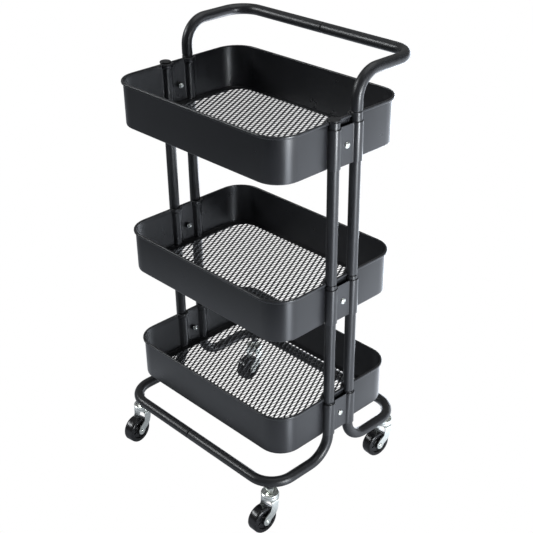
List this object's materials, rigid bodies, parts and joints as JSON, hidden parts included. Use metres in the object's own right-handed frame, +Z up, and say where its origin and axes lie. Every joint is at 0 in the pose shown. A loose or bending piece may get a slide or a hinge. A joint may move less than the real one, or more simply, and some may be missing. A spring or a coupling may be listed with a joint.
{
  "type": "rolling utility cart",
  "caption": "Rolling utility cart with open mesh-floored trays bolted between tube posts, a bent tube push handle and swivel casters.",
  "frame": {"origin": "middle of the cart's footprint, on the floor it stands on", "axes": "+X to the right along the long side of the trays, +Y to the back where the push handle overhangs, +Z up"},
  "size_m": [0.4224, 0.3716, 0.7995],
  "materials": {
    "black_powder_coat": "satin black powder coat on steel",
    "black_plastic": "moulded black plastic, low sheen",
    "bright_zinc": "bright zinc plating",
    "black_tyre": "smooth black moulded wheel, semi-gloss"
  },
  "bodies": {
    "frame": {"base_tube_front_left": "black_powder_coat", "lower_post_front_left": "black_powder_coat", "upper_post_front_left": "black_powder_coat", "caster_stem_front_left": "bright_zinc", "swivel_race_front_left": "bright_zinc", "base_tube_front_right": "black_powder_coat", "lower_post_front_right": "black_powder_coat", "upper_post_front_right": "black_powder_coat", "caster_stem_front_right": "bright_zinc", "swivel_race_front_right": "bright_zinc", "base_tube_back_left": "black_powder_coat", "lower_post_back_left": "black_powder_coat", "upper_post_back_left": "black_powder_coat", "caster_stem_back_left": "bright_zinc", "swivel_race_back_left": "bright_zinc", "base_tube_back_right": "black_powder_coat", "lower_post_back_right": "black_powder_coat", "upper_post_back_right": "black_powder_coat", "caster_stem_back_right": "bright_zinc", "swivel_race_back_right": "bright_zinc", "handle_left": "black_powder_coat", "post_cap_left": "black_plastic", "handle_right": "black_powder_coat", "post_cap_right": "black_plastic", "tray_bottom": "black_powder_coat", "mesh_floor_bottom": "black_powder_coat", "bracket_bottom_left": "black_powder_coat", "bolt_bottom_left": "bright_zinc", "nut_bottom_left": "bright_zinc", "bracket_bottom_right": "black_powder_coat", "bolt_bottom_right": "bright_zinc", "nut_bottom_right": "bright_zinc", "tray_middle": "black_powder_coat", "mesh_floor_middle": "black_powder_coat", "bracket_middle_left": "black_powder_coat", "bolt_middle_left": "bright_zinc", "nut_middle_left": "bright_zinc", "bracket_middle_right": "black_powder_coat", "bolt_middle_right": "bright_zinc", "nut_middle_right": "bright_zinc", "tray_top": "black_powder_coat", "mesh_floor_top": "black_powder_coat", "bracket_top_left": "black_powder_coat", "bolt_top_left": "bright_zinc", "nut_top_left": "bright_zinc", "bracket_top_right": "black_powder_coat", "bolt_top_right": "bright_zinc", "nut_top_right": "bright_zinc"},
    "swivel_front_left": {"caster_fork_front_left": "bright_zinc", "wheel_axle_front_left": "bright_zinc"},
    "wheel_front_left": {"caster_wheel_front_left": "black_tyre"},
    "swivel_front_right": {"caster_fork_front_right": "bright_zinc", "wheel_axle_front_right": "bright_zinc"},
    "wheel_front_right": {"caster_wheel_front_right": "black_tyre"},
    "swivel_back_left": {"caster_fork_back_left": "bright_zinc", "wheel_axle_back_left": "bright_zinc"},
    "wheel_back_left": {"caster_wheel_back_left": "black_tyre"},
    "swivel_back_right": {"caster_fork_back_right": "bright_zinc", "wheel_axle_back_right": "bright_zinc"},
    "wheel_back_right": {"caster_wheel_back_right": "black_tyre"}
  },
  "joints": [
    {"name": "swivel_front_left", "type": "hinge", "parent": "frame", "child": "swivel_front_left", "pos_m": [-0.1815, -0.1401, 0.062], "axis": [0, 0, 1], "continuous": true},
    {"name": "wheel_spin_front_left", "type": "hinge", "parent": "swivel_front_left", "child": "wheel_front_left", "pos_m": [-0.17845, -0.15936, 0.026], "axis": [0.9877, 0.1564, 0], "continuous": true},
    {"name": "swivel_front_right", "type": "hinge", "parent": "frame", "child": "swivel_front_right", "pos_m": [0.1815, -0.1401, 0.062], "axis": [0, 0, 1], "continuous": true},
    {"name": "wheel_spin_front_right", "type": "hinge", "parent": "swivel_front_right", "child": "wheel_front_right", "pos_m": [0.18116, -0.1596, 0.026], "axis": [0.9998, -0.0175, 0], "continuous": true},
    {"name": "swivel_back_left", "type": "hinge", "parent": "frame", "child": "swivel_back_left", "pos_m": [-0.1815, 0.1619, 0.062], "axis": [0, 0, 1], "continuous": true},
    {"name": "wheel_spin_back_left", "type": "hinge", "parent": "swivel_back_left", "child": "wheel_back_left", "pos_m": [-0.18048, 0.14243, 0.026], "axis": [0.9986, 0.0523, 0], "continuous": true},
    {"name": "swivel_back_right", "type": "hinge", "parent": "frame", "child": "swivel_back_right", "pos_m": [0.1815, 0.1619, 0.062], "axis": [0, 0, 1], "continuous": true},
    {"name": "wheel_spin_back_right", "type": "hinge", "parent": "swivel_back_right", "child": "wheel_back_right", "pos_m": [0.1798, 0.14247, 0.026], "axis": [0.9962, -0.0872, 0], "continuous": true}
  ]
}
